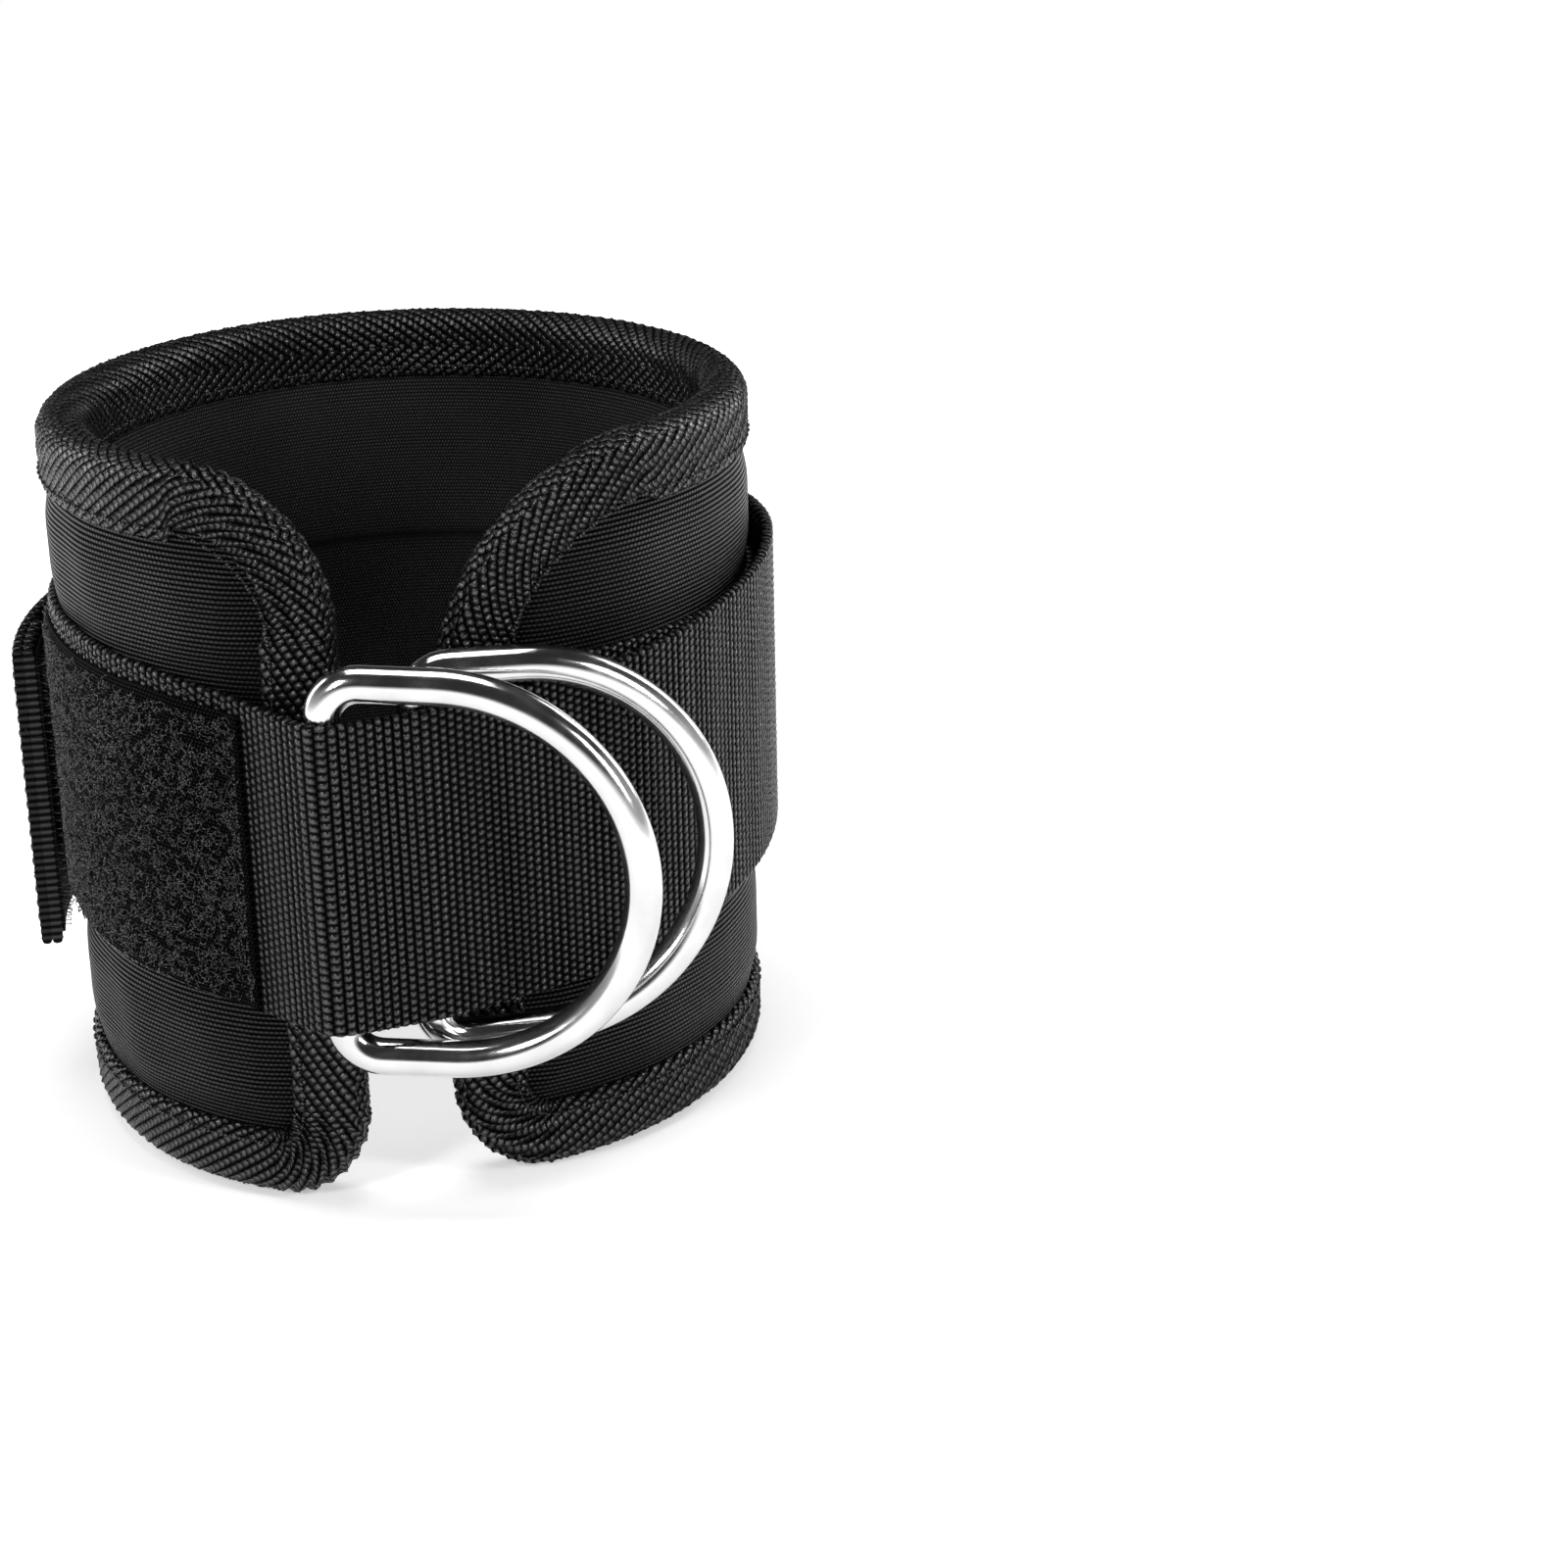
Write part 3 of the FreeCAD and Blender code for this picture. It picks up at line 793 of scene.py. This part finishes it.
def build_loop_tape():
    start, end = strap_s(LOOP_START), S_FOOT - 1.5
    shift = 0.9                # the tape sits a little low on the strap
    tape = build_ribbon("loop_tape_base", start, end, step=0.8, thick=0.7, lift=WEB_THICK - 0.1,
                        width=41.5, relief=0.0, drop=shift)
    finish_piece(tape, [LOOP_BASE], "pad", ("loop_tape",))
    s = rng.uniform(start + 0.8, end - 0.9, HAIR_COUNT)
    v = rng.uniform(-19.9, 19.6, HAIR_COUNT) - shift
    paths = curls(s, v, base=WEB_THICK + 0.55, size=0.62, points=7, rise=0.75)
    hair = tubes("loop_pile", paths, HAIR_RADIUS)
    finish_piece(hair, [LOOP_HAIR], "pad", ())


def build_hook_tape(end):
    start = free_s(TIP_START + 3.0)
    base = build_ribbon("hook_tape_base", start, end - 0.6, step=0.8, thick=0.5,
                        lift=-WEB_THICK - 0.55, width=42.0, relief=0.0)
    finish_piece(base, [HOOK_BASE], "tip", ("hook_tape",))
    rows = np.arange(start + 1.0, end - 0.8, HOOK_ROW_PITCH)
    columns = np.arange(-20.0, 20.1, HOOK_COLUMN_PITCH)
    s, v = (grid.ravel() for grid in np.meshgrid(rows, columns, indexing="ij"))
    s = s + rng.normal(0.0, 0.12, len(s))
    t = np.linspace(0.0, 1.0, 6)[None, :]
    lean = rng.normal(0.0, 0.25, (len(s), 1))
    bend = rng.uniform(0.35, 0.6, (len(s), 1))
    ss = s[:, None] + bend * np.sin(t * 2.6) ** 2
    vv = v[:, None] + lean * t
    down = -WEB_THICK - 0.5 - 1.0 * np.sin(t * 2.2)
    paths = on_strap(ss, strap_centre(ss) + vv, down)
    hooks = tubes("hook_bristles", paths, HOOK_RADIUS)
    finish_piece(hooks, [HOOK_HAIR], "tip", ())


# ---- stitches -------------------------------------------------------------------
def stitch_paths(place, lengths, stitch, gap, proud):
    """One short raised path for every stitch; place turns a length and height into x, y, z."""
    starts = np.arange(lengths[0], lengths[1] - stitch, stitch + gap)
    t = np.linspace(0.0, 1.0, 7)[None, :]
    run = starts[:, None] + t * stitch
    rise = proud * np.sin(t * math.pi) ** 0.5 + np.zeros_like(run)
    return place(run, rise - proud * 0.6)


STITCH_SHAPE = STITCH_RADIUS * np.array([0.35, 0.8, 1.0, 1.0, 1.0, 0.8, 0.35])


def edge_stitches(name, face, sign):
    """The lockstitch that holds the binding, seen on one face of the pad."""
    def place(run, rise):
        inward = OUTLINE.outward(run)
        edge = OUTLINE.place(run, 0.0)
        depth = BINDING_WIDTH - 1.6
        s = edge[..., 0] + inward[..., 0] * depth
        z = edge[..., 1] + inward[..., 1] * depth
        return stand(PAD, s, z, face + sign * (rise + 0.12))

    ends = (0.5, OUTLINE.length - 0.5)
    paths = stitch_paths(place, ends, stitch=2.3, gap=0.7, proud=0.25)
    stitches = tubes(name + "_thread", paths, STITCH_SHAPE, sides=8)
    finish_piece(stitches, [THREAD], "pad", (name,))


def strap_row(name, body, start, end, v, base):
    """A row of stitches along the strap."""
    def place(run, rise):
        return on_strap(run, strap_centre(run) + v, base + rise)

    paths = stitch_paths(place, (start, end), stitch=2.2, gap=0.8, proud=0.3)
    stitches = tubes(name + "_thread", paths, STITCH_SHAPE, sides=8)
    finish_piece(stitches, [THREAD], body, (name,))


def upright_row(name, body, places, low, high, base):
    """Rows of stitches across the strap, one at each length given."""
    paths = []
    for s in places:
        def place(run, rise, s=s):
            lengths = np.full_like(run, s)
            return on_strap(lengths, strap_centre(lengths) + run, base + rise)

        paths.append(stitch_paths(place, (low, high), stitch=1.7, gap=0.5, proud=0.3))
    stitches = tubes(name + "_thread", np.concatenate(paths), STITCH_SHAPE, sides=8)
    finish_piece(stitches, [THREAD], body, (name,))


def build_stitches(tip_end, hem):
    edge_stitches("binding_stitch_outer", TAPE, 1.0)
    edge_stitches("binding_stitch_inner", -PAD_THICK - TAPE, -1.0)
    sewn_end = strap_s(SEWN_END - 3.0)
    strap_row("strap_stitch_top", "pad", 3.0, sewn_end, WEB_WIDTH / 2.0 - 1.6, WEB_THICK)
    strap_row("strap_stitch_bottom", "pad", 3.0, sewn_end, -WEB_WIDTH / 2.0 + 1.6, WEB_THICK)
    upright_row("strap_end_tack", "pad", (2.8, 5.4), -18.0, 18.0, WEB_THICK)
    upright_row("loop_tack", "pad", (S_FOOT - 2.6,), -20.0, 19.0, WEB_THICK + 0.65)
    upright_row("tip_hem_stitch", "tip", (tip_end - 2.4, tip_end - hem + 1.2), -20.0, 20.0,
                WEB_THICK)


# ---- frayed ends ----------------------------------------------------------------
def build_fray(name, body, s_end, way, count, longest):
    """Loose yarn ends that spread over the strap's cut edge, where the curve stops."""
    v = rng.uniform(-WEB_WIDTH / 2.0, WEB_WIDTH / 2.0, count)
    h = rng.uniform(0.2, WEB_THICK - 0.2, count)
    t = np.linspace(0.0, 1.0, 6)[None, :]
    length = rng.uniform(0.3, 1.0, (count, 1)) ** 2 * longest
    ss = s_end + way * (t * length - 0.4)
    vv = v[:, None] + rng.normal(0.0, 0.5, (count, 1)) * t * length
    hh = h[:, None] + rng.normal(0.0, 0.25, (count, 1)) * t * length
    fray = tubes(name, on_strap(ss, strap_centre(ss) + vv, hh), 0.09, sides=4)
    finish_piece(fray, [THREAD], body, ())


# ---- the D-rings ----------------------------------------------------------------
def ring_path():
    """The wire's centre line: from the middle of the bar up, round the D and back."""
    r, length, c = RING_RADIUS, RING_STRAIGHT, RING_CORNER
    points = [(0.0, 0.0), (0.0, r - c)]
    points += [(c - c * math.cos(a), r - c + c * math.sin(a)) for a in
               np.linspace(0.05, math.pi / 2.0, 14)]
    points += [(length + r * math.sin(a), r * math.cos(a)) for a in
               np.linspace(0.0, math.pi, 120)]
    points += [(c - c * math.sin(a), -r + c - c * math.cos(a)) for a in
               np.linspace(0.0, math.pi / 2.0 - 0.05, 14)]
    points += [(0.0, -r + c), (0.0, 0.0)]
    return Belt(np.array(points), blur=0.5)


def build_ring(name, body, bar, turn):
    path = ring_path()
    run = np.linspace(0.0, path.length, RING_STEPS + 1)[:-1]
    centre, side = path.place(run, 0.0), path.outward(run)
    around = np.arange(WIRE_SIDES) / WIRE_SIDES * 2.0 * math.pi
    reach = WIRE / 2.0
    u = centre[:, None, 0] + reach * np.cos(around) * side[:, None, 0]
    z = centre[:, None, 1] + reach * np.cos(around) * side[:, None, 1]
    w = np.broadcast_to(reach * np.sin(around), u.shape)
    z = z + u * math.tan(math.radians(RING_DROOP))
    cos_t, sin_t = unit(turn)
    rings = np.stack([bar[0] + u * cos_t - w * sin_t, bar[1] + u * sin_t + w * cos_t,
                      RING_CENTRE_Z + z], -1)
    ring = loft(name + "_wire", rings, closed=True)
    finish_piece(ring, [CHROME], body, (name,))


# ---- floor, light and camera --------------------------------------------------------
def build_floor():
    square = ((-1.0, -1.0, 0.0), (1.0, -1.0, 0.0), (1.0, 1.0, 0.0), (-1.0, 1.0, 0.0))
    corners = FLOOR_HALF * np.array(square)
    floor = make_mesh("floor", corners, [np.array([[0, 1, 2, 3]])])
    floor.data.materials.append(FLOOR)


def soft_light(name, place, target, size, energy):
    light = bpy.data.lights.new(name, "AREA")
    light.shape = "RECTANGLE"
    light.size, light.size_y = size
    light.energy = energy
    obj = bpy.data.objects.new(name, light)
    obj.location = Vector(place)
    aim = Vector(target) - obj.location
    obj.rotation_euler = aim.to_track_quat("-Z", "Y").to_euler()
    bpy.context.scene.collection.objects.link(obj)


def build_light():
    world = bpy.data.worlds.new("studio")
    world.use_nodes = True
    tree = world.node_tree
    background = tree.nodes["Background"]
    # white round the horizon, darker overhead and above the front, so that metal shows bands
    place = tree.nodes.new("ShaderNodeTexCoord")
    split = tree.nodes.new("ShaderNodeSeparateXYZ")
    tree.links.new(place.outputs["Generated"], split.inputs["Vector"])
    height = Field(tree, split.outputs["Z"])
    front = clamp(Field(tree, split.outputs["Y"]) * -3.0 - 1.5) * clamp(height * 8.0 - 0.5)
    dimming = clamp(height * 2.0 + front)
    tree.links.new(ramp(tree, dimming, grey(1.0), grey(0.06)), background.inputs["Color"])
    background.inputs["Strength"].default_value = 0.6
    bpy.context.scene.world = world
    middle = (0.0, 0.0, 0.05)
    soft_light("top", (0.0, 0.05, 0.80), middle, (0.5, 0.4), 3.5)
    soft_light("front_left", (-0.50, -0.60, 0.50), middle, (0.16, 0.30), 3.2)
    soft_light("front_right", (0.60, -0.40, 0.35), middle, (0.14, 0.30), 2.4)
    soft_light("rim_left", (-0.60, 0.30, 0.30), middle, (0.25, 0.5), 2.2)
    soft_light("rim_right", (0.60, 0.40, 0.35), middle, (0.25, 0.5), 2.2)


CAMERA_PLACE = Vector((5.7, -438.4, 196.5))
CAMERA_TARGET = Vector((54.8, 0.0, 37.8))
CAMERA_ROLL = -1.02           # degrees
CAMERA_LENS = 70.8


def build_camera():
    ahead = (CAMERA_TARGET - CAMERA_PLACE).normalized()
    right = ahead.cross(Vector((0.0, 0.0, 1.0))).normalized()
    up = right.cross(ahead)
    cos_r, sin_r = unit(CAMERA_ROLL)
    right, up = cos_r * right + sin_r * up, cos_r * up - sin_r * right
    camera = bpy.data.objects.new("camera", bpy.data.cameras.new("camera"))
    camera.data.lens = CAMERA_LENS
    camera.data.clip_start = 0.01
    camera.matrix_world = Matrix.Translation(CAMERA_PLACE * MM) @ Matrix(
        (right, up, -ahead)).transposed().to_4x4()
    bpy.context.scene.collection.objects.link(camera)
    bpy.context.scene.camera = camera
    bpy.context.scene.view_settings.view_transform = "Standard"


build_camera()
build_light()
build_floor()
build_pad()
half_way = OUTLINE.knots[np.argmin(np.hypot(*(outline_points() - (S_LEFT, HEIGHT / 2.0)).T))]
build_binding("binding_upper", 0.0, half_way, ("edge_binding",))
build_binding("binding_lower", half_way, OUTLINE.length - 0.3, ())
tip_from = build_strap()
tip_to, hem_length = build_tip(tip_from)
build_loop_tape()
build_hook_tape(tip_to)
build_stitches(tip_to, hem_length)
build_fray("cut_end_fray", "pad", 0.0, -1.0, 70, 2.5)
build_fray("tip_fray", "tip", tip_to, 1.0, 30, 1.5)
build_ring("d_ring_front", "front_ring", FRONT_BAR, FRONT_RING_TURN)
build_ring("d_ring_rear", "rear_ring", REAR_BAR, REAR_RING_TURN)
